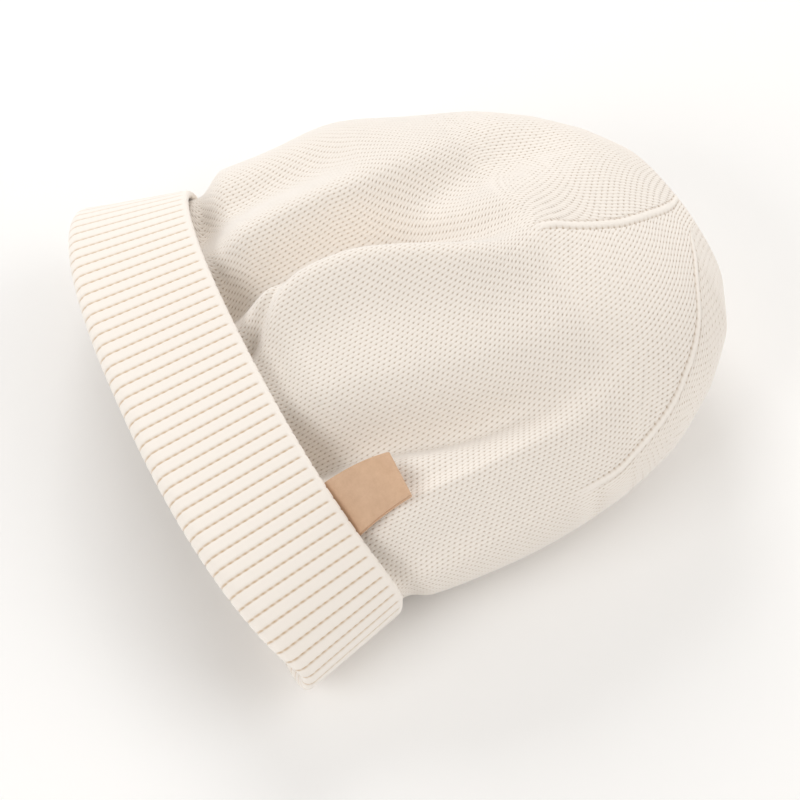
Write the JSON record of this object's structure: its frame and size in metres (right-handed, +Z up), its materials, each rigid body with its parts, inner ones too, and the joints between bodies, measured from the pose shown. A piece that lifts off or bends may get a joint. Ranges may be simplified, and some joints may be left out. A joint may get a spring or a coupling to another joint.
{
  "type": "knit cap",
  "caption": "Soft knit beanie lying on its side, with a ribbed turned-up cuff, a plain jersey body, a shaped crown and a small leather label.",
  "frame": {"origin": "centre of the bounding box on the table that the cap lies on", "axes": "+X from the cap's mouth to its crown, +Y across the flattened cap, +Z up from the table"},
  "size_m": [0.1826, 0.1788, 0.077],
  "materials": {
    "jersey_knit": "matte cotton jersey",
    "rib_knit": "matte cotton rib",
    "label_leather": "smooth matte"
  },
  "bodies": {
    "root": {"jersey_crown": "jersey_knit", "rib_cuff": "rib_knit", "fold_label": "label_leather"}
  },
  "joints": []
}
